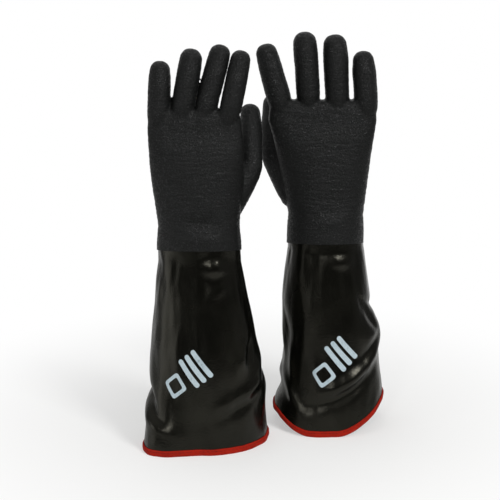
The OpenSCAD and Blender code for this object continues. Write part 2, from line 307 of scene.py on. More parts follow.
# ---------------------------------------------------------------- the hand
def hand_rows(side, sleeve):
    """Ovals of the hand from under its lap to the finger crotches: (x, y, z, half width, half depth)."""
    wrist = middle(f"{side}_wrist_flex")
    w = half(f"{side}_wrist_flex")
    w.x *= WRIST_SLIM[side]
    little = pivot(side, "little", "bend")
    index = pivot(side, "index", "bend")
    row_x = (little.x + index.x) / 2
    row_half = abs(little.x - index.x) / 2 + ROW_END
    y = wrist.y
    root_r = PADDING[side]["middle"][0] * MM
    palm_half = PALM_HALF[side]
    palm_x = (wrist.x + row_x) / 2
    rows = []
    # against the sleeve, under the lap
    for z in LAP_RINGS:
        lap_w, lap_d = sleeve.size(z)
        rows.append((wrist.x, y, z, lap_w + SKIN * 0.9, lap_d + SKIN * 0.9))
    return rows + [
        # over the sleeve's end and the soft wrist
        (wrist.x, y, 0.240, w.x + SKIN * 0.7, w.y + SKIN * 0.7),
        (wrist.x, y, 0.254, w.x * 0.995, w.y * 0.97),
        # widening over the heel of the hand to the palm, and growing flatter
        (wrist.x + 0.25 * (palm_x - wrist.x), y, 0.276, w.x * 0.74 + palm_half * 0.26, 29.5 * MM),
        (wrist.x + 0.6 * (palm_x - wrist.x), y, 0.300, w.x * 0.42 + palm_half * 0.58, 27.5 * MM),
        (palm_x, y, 0.324, palm_half * 0.985, 24.5 * MM),
        (palm_x + 0.35 * (row_x - palm_x), y, 0.345, palm_half * 0.6 + row_half * 0.4, 20.5 * MM),
        # the row of finger roots, closing between the fingers
        (row_x, y, 0.364, row_half, root_r + 1.6 * MM),
        (row_x, y, 0.376, row_half * 0.985, root_r - 0.3 * MM),
        (row_x, y, 0.3835, row_half * 0.94, root_r - 2.8 * MM),
        (row_x, y, 0.3875, row_half * 0.86, root_r - 6.5 * MM),
    ]


def signed_power(value, power):
    return copysign(abs(value) ** power, value)


def square_off(obj, rows):
    """Makes the oval rings squarer toward the finger roots, where the hand is a flat row of knuckles."""
    for v in obj.data.vertices:
        x, y, z, w, d = min(rows, key=lambda row: abs(row[2] - v.co.z))
        power = 1 - SQUARENESS * ease(within((z - SQUARE_FROM) / SQUARE_OVER))
        a = atan2((v.co.y - y) / d, (v.co.x - x) / w)
        v.co.x = x + w * signed_power(cos(a), power)
        v.co.y = y + d * signed_power(sin(a), power)


def finger_form(digit):
    """One digit from inside the palm to its blunt round end, bent a little at the middle joint."""
    root_r, mid_r, end_r = digit.radii
    turn = Vector((0, 0, 1)).rotation_difference(digit.up).to_matrix().inverted()
    lean = turn @ digit.end_up
    deep = 6 * MM if digit.name == "thumb" else 21 * MM
    # from a point inside the palm out to the root, then to the middle joint
    rings = [(0, 0, -deep * share, root_r * size)
             for share, size in ((1, 0.4), (0.62, 0.72), (0.3, 0.91), (0, 0.985))]
    rings += [(0, 0, digit.reach * 0.25, root_r), (0, 0, digit.reach, (root_r + mid_r) / 2)]
    # past the middle joint: distance along the digit's end, and radius
    body = digit.end_len - end_r
    past = [(body * 0.35, mid_r), (body * 0.7, mid_r * 0.6 + end_r * 0.4), (body, end_r)]
    # a blunt round end, its rings closer together toward the tip
    past += [(body + end_r * sin(a), end_r * cos(a) ** TIP_BLUNTNESS) for a in TIP_ANGLES]
    rings += [(lean.x * e, lean.y * e, digit.reach + lean.z * e, radius) for e, radius in past]
    obj = tube(digit.name, digit.root, digit.up, rings)
    if digit.apart:
        obj.matrix_world = digit.opened()
        settle(obj)
    return obj


def thumb_mound(side, digit):
    """The ball of the thumb, from the thumb's root down and in to the palm."""
    inward, forward, drop = MOUND_FOOT
    down = Vector((-SIGN[side] * inward * MM, -forward * MM, -drop * MM))
    far = down.length
    # distance from the thumb's root, and radius
    rings = [(-9 * MM, 9), (-3 * MM, 12.6), (6 * MM, 14.4), (far * 0.3, 15.5), (far * 0.6, 16.5),
             (far * 0.85, 17), (far, 14), (far + 5 * MM, 8)]
    return tube("mound", digit.root, down.normalized(), [(0, 0, s, radius * MM) for s, radius in rings])


def bump_noise(point, scale, seed):
    return noise.noise(Vector((point.x / scale[0], point.y / scale[1], point.z / scale[2] + seed * 7.3)))


def crease_depth(point, side):
    """Fine lines across the back and wrist where the coated knit has gathered, deepest low on the hand."""
    seed = 1 if side == "left" else 2
    band = sum(bell((point.z - z) / spread) * strength for z, spread, strength in CREASE_BANDS)
    warp = 5 * MM * bump_noise(point, (0.05, 0.05, 0.06), seed)
    moved = Vector((point.x, point.y, point.z + warp))
    line = 1 - abs(bump_noise(moved, (0.034, 0.05, 0.0042), seed)) * 2.6
    fine = 1 - abs(bump_noise(moved, (0.02, 0.03, 0.0024), seed + 5)) * 2.6
    return -band * (0.55 * MM * max(0, line) ** 2 + 0.22 * MM * max(0, fine) ** 2)


class Fold:
    """A soft ridge or groove on a surface, about a line from one point to another."""

    def __init__(self, a, b, width, height):
        self.a = a
        self.line = b - a
        self.width = width
        self.height = height

    def rise(self, point):
        t = within((point - self.a).dot(self.line) / self.line.length_squared)
        away = (point - self.a - self.line * t).length / self.width
        fade = 1 - 0.55 * (2 * t - 1) ** 2
        return self.height * fade * bell(away)


def hand_folds(side, digits):
    """The larger hollows and ridges of each hand."""
    wrist = middle(f"{side}_wrist_flex")
    front = wrist.y - half(f"{side}_wrist_flex").y

    def fold(x, start, end, width, height):
        """A fold between two points, each given across from x, back from the hand's front and up (mm)."""
        a, b = (Vector((x + across * MM, front + back * MM, z * MM)) for across, back, z in (start, end))
        return Fold(a, b, width * MM, height * MM)

    if side == "left":
        little = digits["little"].root
        folds = [
            # a hollow across the wrist, with a swelling under it and a short ridge over it
            fold(wrist.x, (-22, 0, 268), (28, 0, 262), 7, -3.0),
            fold(wrist.x, (-30, 0, 248), (30, 0, 246), 8, 2.6),
            fold(wrist.x, (5, 0, 287), (26, 0, 280), 5, 1.2),
            # the crease under the little finger
            fold(little.x, (-6, 14, 377), (12, 12, 371), 4, -1.3),
        ]
    else:
        index = digits["index"].root
        ring = digits["ring"].root
        folds = [
            # the crease under the leaning index finger, the roll below it, and a crease under the ring finger
            fold(index.x, (-8, 20, 374.5), (9, 18, 373.5), 2.8, -2.6),
            fold(index.x, (-10, 18, 366), (16, 15, 362), 6, 1.3),
            fold(ring.x, (-8, 20, 376), (4, 19, 372), 3.4, -1.9),
            # a low ridge and a hollow across the wrist
            fold(wrist.x, (-8, 0, 250), (30, 0, 254), 6, 1.4),
            fold(wrist.x, (-20, 0, 262), (25, 0, 266), 6, -1.2),
        ]
    # valleys between the fingers' roots, which carry each finger's roundness down over the knuckles
    for a, b in zip(FINGERS, FINGERS[1:]):
        mid = (digits[a].root + digits[b].root) / 2
        folds.append(fold(mid.x, (0, 15, mid.z / MM - 2), (0, 12, mid.z / MM - 26), 5.5, -2.2))
    return folds


def sculpt(obj, side, digits):
    """Moves the points of the hand along their normals: folds, creases and a slight unevenness."""
    folds = hand_folds(side, digits)
    mesh = obj.data
    normals = [v.normal.copy() for v in mesh.vertices]
    for v, n in zip(mesh.vertices, normals):
        p = v.co.copy()
        move = crease_depth(p, side) + 0.7 * MM * bump_noise(p, (0.03, 0.03, 0.04), 3)
        move += sum(f.rise(p) for f in folds)
        if p.z > WRINKLES_FROM:
            move -= 0.22 * MM * max(0, 1 - abs(bump_noise(p, (0.03, 0.03, 0.0045), 9)) * 3)
        v.co = p + n * move
    mesh.update()


def face_owner(center, digits):
    """Which piece a face belongs to: the palm, or the base or tip of the nearest digit that it lies on."""
    owner = "palm"
    nearest = inf
    for name, digit in digits.items():
        s, away = digit.along(center)
        if s > digit.blend[0] and away < max(digit.radii) + OWN_SKIN and away < nearest:
            nearest = away
            owner = f"{name}_tip" if s > digit.reach - CURL_BLEND else f"{name}_base"
    return owner


def turn_in(obj, digits):
    """Turns a digit that was made apart back to its place, its skin stretching evenly at the root."""
    for digit in digits.values():
        if not digit.apart:
            continue
        opened = Matrix.Rotation(radians(digit.apart), 3, "Y")
        up = opened @ digit.up
        near, far = digit.blend
        for v in obj.data.vertices:
            rel = v.co - digit.root
            s = rel.dot(up)
            if s < near:
                continue
            away = (rel - s * up).length
            others = [d.along(v.co)[1] - d.radii[0] for d in digits.values() if d is not digit]
            grip = 1 if away - digit.radii[0] < min(others) else 0
            if s < far:
                grip = max(grip, 1 - max(0, away - digit.radii[0]) / (4 * MM))
            t = min(1, (s - near) / (far - near))
            turn = Matrix.Rotation(-radians(digit.apart) * ease(t) * max(0, grip), 3, "Y")
            v.co = digit.root + turn @ rel
    obj.data.update()


def soften_roots(obj, digits):
    """Evens the skin where the digits run into the hand."""
    group = obj.vertex_groups.new(name="roots")
    thumb = digits["thumb"].root
    below = thumb - Vector((0, 0, 30 * MM))
    knuckles = max(d.root.z for d in digits.values()) - 9 * MM
    for v in obj.data.vertices:
        weight = max(bell((v.co.z - knuckles) / (15 * MM)), bell((v.co - thumb).length / (24 * MM)),
                     bell((v.co - below).length / (30 * MM)))
        group.add([v.index], weight, "REPLACE")
    use(obj, "SMOOTH", factor=0.5, iterations=34, vertex_group="roots")


def split_hand(whole, digits):
    """Parts the hand into the pieces that bend on their own."""
    owners = [face_owner(p.center, digits) for p in whole.data.polygons]
    pieces = {}
    for name in sorted(set(owners)):
        piece = copy_of(whole)
        only(piece)
        bpy.ops.object.mode_set(mode="EDIT")
        bpy.ops.mesh.select_mode(type="FACE")
        bpy.ops.object.mode_set(mode="OBJECT")
        for polygon, owner in zip(piece.data.polygons, owners):
            polygon.select = owner != name
        bpy.ops.object.mode_set(mode="EDIT")
        bpy.ops.mesh.delete(type="FACE")
        bpy.ops.object.mode_set(mode="OBJECT")
        pieces[name] = piece
    bpy.data.objects.remove(whole)
    return pieces


def cut_open(obj, y, z):
    """Cuts a form off below a height and leaves it open there; the edge sits a little higher at the front."""
    only(obj)
    bpy.ops.object.mode_set(mode="EDIT")
    bpy.ops.mesh.select_all(action="SELECT")
    bpy.ops.mesh.bisect(plane_co=(0, y, z), plane_no=(0, SEAM_SLOPE, 1), clear_inner=True)
    bpy.ops.object.mode_set(mode="OBJECT")


def hand(side, sleeve):
    """The rough-coated hand of one glove and its knit liner, each in a palm, five bases and five tips."""
    digits = {name: Digit(side, name) for name in DIGITS}
    rows = hand_rows(side, sleeve)
    forms = [stacked_rings("palm", rows, 64)]
    square_off(forms[0], rows)
    forms += [finger_form(digit) for digit in digits.values()]
    forms.append(thumb_mound(side, digits["thumb"]))
    whole = join(forms, f"{side}_hand")
    use(whole, "REMESH", mode="VOXEL", voxel_size=GRID, adaptivity=0)
    use(whole, "SMOOTH", factor=0.5, iterations=5)
    turn_in(whole, digits)
    soften_roots(whole, digits)
    cut_open(whole, middle(f"{side}_wrist_flex").y, LAP_Z[side])
    sculpt(whole, side, digits)
    for name, piece in split_hand(whole, digits).items():
        liner = copy_of(piece)
        use(piece, "SOLIDIFY", thickness=SKIN, offset=-1, use_rim=True)
        finish_piece(piece, f"{side}_{name}_skin", ROUGH_COAT)
        use(liner, "DECIMATE", ratio=0.3)
        use(liner, "DISPLACE", strength=-(SKIN + CLEAR), mid_level=0)
        use(liner, "SOLIDIFY", thickness=LINER, offset=-1, use_rim=True)
        finish_piece(liner, f"{side}_{name}_knit", KNIT)
        place_piece(side, name, piece, "shell")
        place_piece(side, name, liner, "liner")


def finish_piece(obj, name, material):
    obj.name = name
    obj.data.name = name
    smooth(obj, 60)
    obj.data.materials.clear()
    obj.data.materials.append(material)


def place_piece(side, name, piece, layer):
    """Bakes a piece of the hand's place into its mesh and hides the stand-in that it replaces; the layer is
    the shell or the liner.
    """
    if name == "palm":
        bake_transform(piece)
        if layer == "shell":
            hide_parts(f"{side}_palm_shell", f"{side}_wrist_flex", f"{side}_wrist_lap")
        else:
            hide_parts(f"{side}_palm_liner", f"{side}_wrist_flex_liner")
        return
    if name.endswith("base"):
        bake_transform(piece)
    else:
        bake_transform(piece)
    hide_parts(f"{side}_{name}_{layer}")


# ---------------------------------------------------------------- the sleeve
class SleeveFold:
    """A ridge or groove of the sleeve: centred at an angle and height, so long, so wide and so high.

    tilt is the slope of its length in degrees, from level; the front of the sleeve is at 270 degrees."""

    def __init__(self, angle, z, length, width, height, tilt=0, sharp=2.0):
        self.angle = angle
        self.z = z * MM
        self.length = length * MM
        self.width = width * MM
        self.height = height * MM
        self.tilt = radians(tilt)
        self.sharp = sharp

    def rise(self, at, z, radius):
        turn = (at - self.angle + 180) % 360 - 180
        s = radians(turn) * radius
        h = z - self.z
        p = s * cos(self.tilt) + h * sin(self.tilt)
        q = -s * sin(self.tilt) + h * cos(self.tilt)
        if abs(p) > 3 * self.length or abs(q) > 4 * self.width:
            return 0
        return self.height * exp(-(p / self.length) ** 2) * exp(-abs(q / self.width) ** self.sharp)


SLEEVE_FOLDS = {
    "left": [
        # the deep kink low on the little-finger side, the roll under it and its crease running forward
        SleeveFold(182, 64, 30, 8, -11.5, tilt=-22, sharp=1.6),
        SleeveFold(186, 44, 30, 10, 2.6, tilt=-20),
        SleeveFold(214, 43, 16, 5, -3.2, tilt=-24),
        SleeveFold(222, 33, 22, 7, 1.8, tilt=-18),
        # the long side's swelling above the kink
        SleeveFold(180, 112, 60, 34, 2.5),
        # the pinched folds on the thumb side
        SleeveFold(330, 116, 15, 5.5, -3.4, tilt=62, sharp=1.8),
        SleeveFold(320, 110, 22, 8, 2.4, tilt=58),
        SleeveFold(345, 96, 20, 8, 3.4, tilt=48),
        SleeveFold(356, 82, 22, 6, -2.0, tilt=34),
        SleeveFold(4, 66, 40, 20, 3.4),
        SleeveFold(330, 70, 30, 8, 2.8, tilt=28),
        SleeveFold(316, 56, 34, 8, -2.8, tilt=24),
        SleeveFold(300, 62, 16, 6, 1.6, tilt=30),
        # the shoulder under the seam, and soft unevenness at the front
        SleeveFold(291, 213, 15, 8.5, 3.2, tilt=-6),
        SleeveFold(296, 188, 12, 7, 1.2, tilt=40),
        SleeveFold(262, 160, 40, 26, -1.2, tilt=70),
    ],
    "right": [
        # the kink high on the little-finger side, with the swelling below it
        SleeveFold(184, 145, 26, 6.5, -3.6, tilt=24, sharp=1.6),
        SleeveFold(186, 108, 38, 26, 6.5, tilt=12),
        SleeveFold(208, 134, 26, 6, -2.6, tilt=62),
        # the long slanting ridge across the front and the hollow under it
        SleeveFold(240, 66, 44, 10, 5.0, tilt=-26),
        SleeveFold(262, 45, 42, 8.5, -4.0, tilt=-16),
        SleeveFold(212, 92, 24, 8, -3.2, tilt=-38),
        # flutes down the thumb side, and the waist above the hem's turned-out tip
        SleeveFold(338, 118, 30, 5, -2.6, tilt=78, sharp=1.7),
        SleeveFold(348, 96, 26, 5, 2.6, tilt=80),
        SleeveFold(326, 84, 30, 6, 2.0, tilt=74),
        SleeveFold(4, 150, 60, 40, 2.4),
        SleeveFold(2, 30, 30, 12, -5.5),
        SleeveFold(350, 50, 24, 8, -1.6, tilt=35),
        SleeveFold(318, 40, 26, 8, 2.4, tilt=40),
        SleeveFold(249, 205, 12, 8.5, 3.0, tilt=4),
        SleeveFold(290, 180, 36, 20, 1.2, tilt=80),
    ],
}


# Where a side of the sleeve leans: side (1 is the thumb's), height and spread, then across and back (mm)
FOOTPRINT = {
    "left": [(-1, 0, 60, 2, -34), (-1, 105, 60, 4, 0), (1, 95, 60, 2, 0)],
    "right": [(1, 85, 62, 9, 0), (1, 0, 40, 0, -12), (-1, 0, 40, 0, -8)],
}


class Sleeve:
    """The surface of one sleeve, from the hem (height 0) to its top edge."""

    def __init__(self, side):
        self.side = side
        self.s = SIGN[side]
        self.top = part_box(f"{side}_gauntlet")[1].z
        cuff_low, cuff_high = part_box(f"{side}_cuff_binding")
        self.cuff = Vector(((cuff_low.x + cuff_high.x) / 2, (cuff_low.y + cuff_high.y) / 2, 0))
        self.cuff_w = (cuff_high.x - cuff_low.x) / 2 - TAPE_WALL
        self.cuff_d = (cuff_high.y - cuff_low.y) / 2 - TAPE_WALL
        self.wrist_x = middle(f"{side}_wrist_flex").x
        self.wrist_w = half(f"{side}_wrist_flex").x * WRIST_SLIM[side]
        self.wrist_d = half(f"{side}_wrist_flex").y
        self.calf_w, self.calf_d = (span * MM for span in CALF[side])
        self.lift = [rise * MM for rise in HEM_RISE[side]]
        self.seed = NOISE_SEED[side]

    def size(self, z):
        """Half width and half depth at a height: a smooth curve through the cuff, the calf and the wrist."""
        t = within(z / (self.top - STRAIGHT_TOP))

        def through(cuff, calf, wrist):
            bend = 2 * calf - (cuff + wrist) / 2
            return (1 - t) ** 2 * cuff + 2 * t * (1 - t) * bend + t ** 2 * wrist

        return (through(self.cuff_w, self.calf_w, self.wrist_w),
                through(self.cuff_d, self.calf_d, self.wrist_d))

    def hem_lift(self, angle, z):
        """How far the hem is drawn up at this angle, at its thumb's side or its little finger's."""
        c = cos(angle)
        high, start = (self.lift[0], 0.35) if c > 0 else (self.lift[1], 0.1)
        return high * (max(0, abs(c) - start) / (1 - start)) ** 1.8 * max(0, 1 - z / HEM_RISE_TO)

    def lean(self, angle, z):
        """How the soft sleeve stands off its even oval: its sides drawn in or forward low down."""
        c = cos(angle)
        across = back = 0
        for side_sign, height, spread, dx, dy in FOOTPRINT[self.side]:
            grip = max(0, side_sign * c) ** 1.5 * bell((z - height * MM) / (spread * MM))
            across += grip * dx * MM
            back += grip * dy * MM
        return across, back

    def rise(self, angle, z, radius):
        """How far the surface stands out from its oval: the folds, and a slight unevenness."""
        out = sum(f.rise(degrees(angle), z, radius) for f in SLEEVE_FOLDS[self.side])
        c, s = cos(angle), sin(angle)
        broad = Vector((c * 3, s * 3, z / (60 * MM))) + Vector((self.seed, 0, 0))
        small = Vector((c * 6, s * 6, z / (26 * MM))) + Vector((0, self.seed, 0))
        low = Vector((c * 2.2, s * 2.2, self.seed))
        out += 1.6 * MM * noise.noise(broad) + 0.5 * MM * noise.noise(small)
        return out + exp(-z / (30 * MM)) * 1.8 * MM * noise.noise(low)

    def point(self, angle, z, inset=0):
        """The point at an angle (radians, 0 at the thumb side) and a height along the sleeve."""
        w, d = self.size(z)
        x = self.cuff.x + (self.wrist_x - self.cuff.x) * z / self.top
        # the sleeve is even where the hand's lap lies on it
        below_lap = within((LAP_Z[self.side] + 6 * MM - z) / (14 * MM))
        out = self.rise(angle, z, (w + d) / 2) * below_lap - inset
        nx, ny = cos(angle) / w, sin(angle) / d
        length = hypot(nx, ny)
        across, back = self.lean(angle, z)
        return Vector((x + self.s * (w * cos(angle) + nx / length * out) + across * below_lap,
                       self.cuff.y + d * sin(angle) + ny / length * out + back * below_lap,
                       z + self.hem_lift(angle, z)))


def ring_grid(rows):
    """Faces between rings of points of the same count, each joined to the next and the last to the first."""
    n = len(rows[0])
    faces = []
    for k in range(len(rows)):
        a, b = k * n, ((k + 1) % len(rows)) * n
        for i in range(n):
            j = (i + 1) % n
            faces.append((a + i, a + j, b + j, b + i))
    return faces


def ring_piece(name, rows):
    """A closed piece through rings of points."""
    return mesh_piece(name, [p for row in rows for p in row], ring_grid(rows))


def face_outward(obj):
    only(obj)
    bpy.ops.object.mode_set(mode="EDIT")
    bpy.ops.mesh.select_all(action="SELECT")
    bpy.ops.mesh.normals_make_consistent(inside=False)
    bpy.ops.object.mode_set(mode="OBJECT")


def sleeve_wall(sleeve, name, inset, thickness, around, up):
    """A wall of the sleeve, this far in from its surface, as a closed shell."""
    angles = [2 * pi * i / around for i in range(around)]
    start, stop = HEM_START, sleeve.top - 1 * MM
    heights = [start + (stop - start) * k / up for k in range(up + 1)]
    outer = [[sleeve.point(a, z, inset) for a in angles] for z in heights]
    inner = [[sleeve.point(a, z, inset + thickness) for a in angles] for z in reversed(heights)]
    obj = ring_piece(name, outer + inner)
    face_outward(obj)
    smooth(obj, 60)
    return obj


def dress(obj, side, material, stands_for=None):
    """Gives a piece of the sleeve its material and ties it to the gauntlet's body."""
    obj.data.materials.append(material)
    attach(obj, f"{side}_gauntlet")
    if stands_for:
        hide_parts(f"{side}_{stands_for}")


def sleeve_of(side):
    sleeve = Sleeve(side)
    skin = sleeve_wall(sleeve, f"{side}_sleeve", 0, SLEEVE_SKIN, 240, 140)
    dress(skin, side, SMOOTH_COAT, "gauntlet")
    cloth = sleeve_wall(sleeve, f"{side}_sleeve_lining", SLEEVE_SKIN + CLEAR, LINING, 160, 70)
    dress(cloth, side, COTTON, "gauntlet_lining")
    binding = hem_binding(sleeve)
    stitches = hem_stitches(sleeve)
    sleeve_print(sleeve)
    return sleeve


def hem_binding(sleeve):
    """Tape folded round the hem, a little puffed, with a slight wander of its edge."""
    around = 240
    body = SLEEVE_SKIN + LINING + 0.3 * MM
    touch = body - 0.05 * MM
    # down the outside, from the tape's upper edge round the fold: share of its height and of its thickness
    path = [(0.96, 0.15), (0.99, 0.6), (0.93, 1.05), (0.72, 1.28), (0.5, 1.32), (0.25, 1.25), (0.08, 1.0),
            (0.0, 0.5)]
    outer = [(TAPE_HEIGHT * h, -TAPE_THICK * t) for h, t in path]
    inner = [(TAPE_HEIGHT * h * 0.9, body + TAPE_THICK * t) for h, t in reversed(path)]
    # back up between the tape and the sleeve that it holds
    lip = [(TAPE_HEIGHT * 0.9, touch), (2.0 * MM, touch), (2.0 * MM, 0.05 * MM),
           (TAPE_HEIGHT * 0.94, 0.02 * MM)]
    rows = []
    for z, inset in outer + inner + lip:
        row = []
        for i in range(around):
            a = 2 * pi * i / around
            place = Vector((cos(a) * 5, sin(a) * 5, sleeve.seed + 2))
            wander = 0.35 * MM * noise.noise(place) * (z / TAPE_HEIGHT)
            row.append(sleeve.point(a, max(0, z + wander), inset))
        rows.append(row)
    obj = ring_piece(f"{sleeve.side}_hem_tape", rows)
    face_outward(obj)
    smooth(obj, 60)
    dress(obj, sleeve.side, TAPE, "cuff_binding")
    return obj


def stitch_place(sleeve, angle):
    """Where one stitch lies on the tape: along the hem, with its flat side to the sleeve."""
    here = sleeve.point(angle, STITCH_Z, -STITCH_OUT)
    ahead = sleeve.point(angle + 0.01, STITCH_Z, -STITCH_OUT)
    above = sleeve.point(angle, STITCH_Z + 1 * MM, -STITCH_OUT)
    along = (ahead - here).normalized()
    out = along.cross(above - here).normalized()
    if out.dot(here - Vector((sleeve.cuff.x, sleeve.cuff.y, here.z))) < 0:
        out = -out
    turn = Matrix((along, out.cross(along), out)).transposed().to_4x4()
    return Matrix.Translation(here) @ turn


def hem_stitches(sleeve):
    """One row of lockstitch along the tape: a stitch made once and laid at even steps round the hem."""
    bpy.ops.object.select_all(action="DESELECT")
    bpy.ops.mesh.primitive_uv_sphere_add(segments=8, ring_count=6, radius=1)
    first = bpy.context.active_object
    first.scale = (STITCH_LENGTH / 2, STITCH_THICK, STITCH_THICK * 0.8)
    settle(first)
    copies = []
    for k in range(STITCHES):
        copy = copy_of(first)
        copy.matrix_world = stitch_place(sleeve, 2 * pi * k / STITCHES)
        copies.append(copy)
    bpy.data.objects.remove(first)
    bpy.context.view_layer.update()
    obj = join(copies, f"{sleeve.side}_hem_stitching")
    settle(obj)
    smooth(obj, 80)
    dress(obj, sleeve.side, THREAD, "binding_stitching")
    return obj


def stamp(sleeve, at, outline, scales):
    """A thin closed patch of ink on the sleeve, at an angle (degrees) and height (mm) with this outline."""
    angle, z = radians(at[0]), at[1] * MM
    radius = sleeve.size(z)[0]
    mid_u = sum(u for u, v in outline) / len(outline)
    mid_v = sum(v for u, v in outline) / len(outline)

    def laid(scale, inset):
        points = [(mid_u + (u - mid_u) * scale, mid_v + (v - mid_v) * scale) for u, v in outline]
        return [sleeve.point(angle + sleeve.s * u / radius, z + v, inset) for u, v in points]

    rows = [laid(k, -INK) for k in scales] + [laid(k, 0.1 * MM) for k in reversed(scales)]
    return ring_piece("ink", rows)


def slanted(points):
    """An outline turned to the print's slant."""
    c, s = cos(PRINT_SLANT), sin(PRINT_SLANT)
    return [(u * c - v * s, u * s + v * c) for u, v in points]


def square_outline():
    """A square with rounded corners."""
    angles = [2 * pi * k / 72 for k in range(72)]
    return [(FRAME_HALF * signed_power(cos(a), 0.3), FRAME_HALF * signed_power(sin(a), 0.3)) for a in angles]


def bar_outline(off):
    """A bar with round ends, this far to one side, with enough points to follow the sleeve."""
    ends = ((BAR_LENGTH / 2, range(-6, 7)), (-BAR_LENGTH / 2, range(6, 19)))
    bar = [(end + BAR_R * cos(pi * n / 12), BAR_R * sin(pi * n / 12)) for end, turn in ends for n in turn]
    points = []
    for (u0, v0), (u1, v1) in zip(bar, bar[1:] + bar[:1]):
        steps = 12 if abs(u1 - u0) > BAR_R * 2 else 1
        points += [(u0 + (u1 - u0) * t / steps, v0 + (v1 - v0) * t / steps + off) for t in range(steps)]
    return points


def sleeve_print(sleeve):
    """The sleeve's print: a plain square frame and slanting bars, which stand for no word or mark."""
    frame_at, bars_at = PRINT_AT[sleeve.side]
    parts = [stamp(sleeve, frame_at, slanted(square_outline()), (1.0, 0.88, 0.76, 0.64))]
    for k in range(BARS):
        bar = bar_outline((k - (BARS - 1) / 2) * BAR_STEP)
        parts.append(stamp(sleeve, bars_at, slanted(bar), (1.0, 0.7, 0.35, 0.03)))
    obj = join(parts, f"{sleeve.side}_sleeve_print")
    face_outward(obj)
    smooth(obj, 40)
    dress(obj, sleeve.side, INK_FINISH)
    return obj


# ---------------------------------------------------------------- materials
def linear(hex_code):
    """An sRGB hex colour as linear values."""
    channels = [int(hex_code[i:i + 2], 16) / 255 for i in (1, 3, 5)]
    return tuple(c / 12.92 if c <= 0.04045 else ((c + 0.055) / 1.055) ** 2.4 for c in channels) + (1,)


def grey(v):
    return (v, v, v, 1)


WHITE = grey(1)


def fill(tree, made, inputs):
    """Sets a node's inputs: each takes a value, or a socket to link from."""
    for name, value in inputs.items():
        socket = made.inputs[name]
        if isinstance(value, bpy.types.NodeSocket):
            tree.links.new(value, socket)
        else:
            socket.default_value = value


def node(tree, kind, inputs=None, **settings):
    made = tree.nodes.new(kind)
    for name, value in settings.items():
        setattr(made, name, value)
    fill(tree, made, inputs or {})
    return made


def finish_of(name):
    """A new material with an empty tree, its shader and its Object coordinates."""
    material = bpy.data.materials.new(name)
    material.use_nodes = True
    tree = material.node_tree
    shader = tree.nodes["Principled BSDF"]
    place = node(tree, "ShaderNodeTexCoord").outputs["Object"]
    return material, tree, shader, place


def ramp(tree, value, stops):
    """Colours for a level: (level, colour) stops from low to high."""
    made = node(tree, "ShaderNodeValToRGB", {"Fac": value})
    first, last = made.color_ramp.elements
    first.position, first.color = stops[0]
    last.position, last.color = stops[-1]
    for level, colour in stops[1:-1]:
        made.color_ramp.elements.new(level).color = colour
    return made.outputs["Color"]


def lumps(tree, place, scale, detail=2.0, roughness=0.5):
    """The level of a noise, with about so many lumps a metre."""
    inputs = {"Vector": place, "Scale": scale, "Detail": detail, "Roughness": roughness}
    return node(tree, "ShaderNodeTexNoise", inputs).outputs["Fac"]


def bump(tree, height, strength, distance, over=None):
    """A bumped normal from a height, over another bump or on the plain surface."""
    inputs = {"Height": height, "Strength": strength, "Distance": distance}
    if over is not None:
        inputs["Normal"] = over
    return node(tree, "ShaderNodeBump", inputs).outputs["Normal"]


def maths(tree, operation, a, b):
    return node(tree, "ShaderNodeMath", {0: a, 1: b}, operation=operation).outputs[0]


def eased(tree, value, source, target=(0.0, 1.0)):
    """A value taken smoothly from one range to another."""
    inputs = {"Value": value, "From Min": source[0], "From Max": source[1],
              "To Min": target[0], "To Max": target[1]}
    return node(tree, "ShaderNodeMapRange", inputs, interpolation_type="SMOOTHSTEP").outputs["Result"]


def rough_coating():
    """Sand-finish dipped rubber: grit under a thin coat, so the light breaks into fine specks."""
    material, tree, shader, place = finish_of("rough_dipped_rubber")
    grit = 1.8 * MM      # grit of the dip, drawn a little coarse so that it shows
    knit = 2.3 * MM      # courses of the knit that show through as faint level lines
    grain = lumps(tree, place, 1 / grit, 4.0, 0.7)
    pits = node(tree, "ShaderNodeTexVoronoi", {"Vector": place, "Scale": 1 / (grit * 1.5)}, feature="F1")
    level = node(tree, "ShaderNodeMapping", {"Vector": place, "Scale": (0.09, 0.09, 1.0)}).outputs["Vector"]
    courses = lumps(tree, level, 1 / knit)
    wear = lumps(tree, place, 28.0, 3.0)
    tone = ramp(tree, wear, [(0.3, linear("#040504")), (0.7, linear("#090a09"))])
    speck = ramp(tree, grain, [(0.54, grey(0)), (0.72, grey(1))])
    flecked = node(tree, "ShaderNodeMix", {0: speck, 6: tone, 7: linear("#151818")}, data_type="RGBA")
    gritty = bump(tree, grain, 1.0, 0.9 * MM)
    pitted = bump(tree, pits.outputs["Distance"], 0.4, 0.4 * MM, gritty)
    fill(tree, shader, {
        "Base Color": flecked.outputs[2],
        "Roughness": ramp(tree, grain, [(0.45, grey(0.72)), (0.62, grey(0.24))]),
        "Normal": bump(tree, courses, 0.5, 0.6 * MM, pitted),
        "IOR": 1.5,
        "Specular IOR Level": 0.29,
    })
    return material


def smooth_coating():
    """Glossy plasticised PVC over cloth: nearly black, with a soft orange-peel in its highlights."""
    material, tree, shader, place = finish_of("glossy_pvc_coated_cloth")
    peel = 2.0 * MM      # orange-peel of the dipped skin
    weave = 0.9 * MM     # cloth just felt through the skin
    broad = lumps(tree, place, 16.0, 3.0)
    peeled = bump(tree, lumps(tree, place, 1 / peel, 3.0, 0.6), 0.5, 0.4 * MM)
    fill(tree, shader, {
        "Base Color": ramp(tree, broad, [(0.35, linear("#050504")), (0.65, linear("#0a0a07"))]),
        "Roughness": ramp(tree, broad, [(0.3, grey(0.2)), (0.7, grey(0.3))]),
        "Normal": bump(tree, lumps(tree, place, 1 / weave), 0.2, 0.15 * MM, peeled),
        "IOR": 1.53,
        "Specular IOR Level": 0.27,
        "Specular Tint": linear("#fffbe8"),
    })
    return material


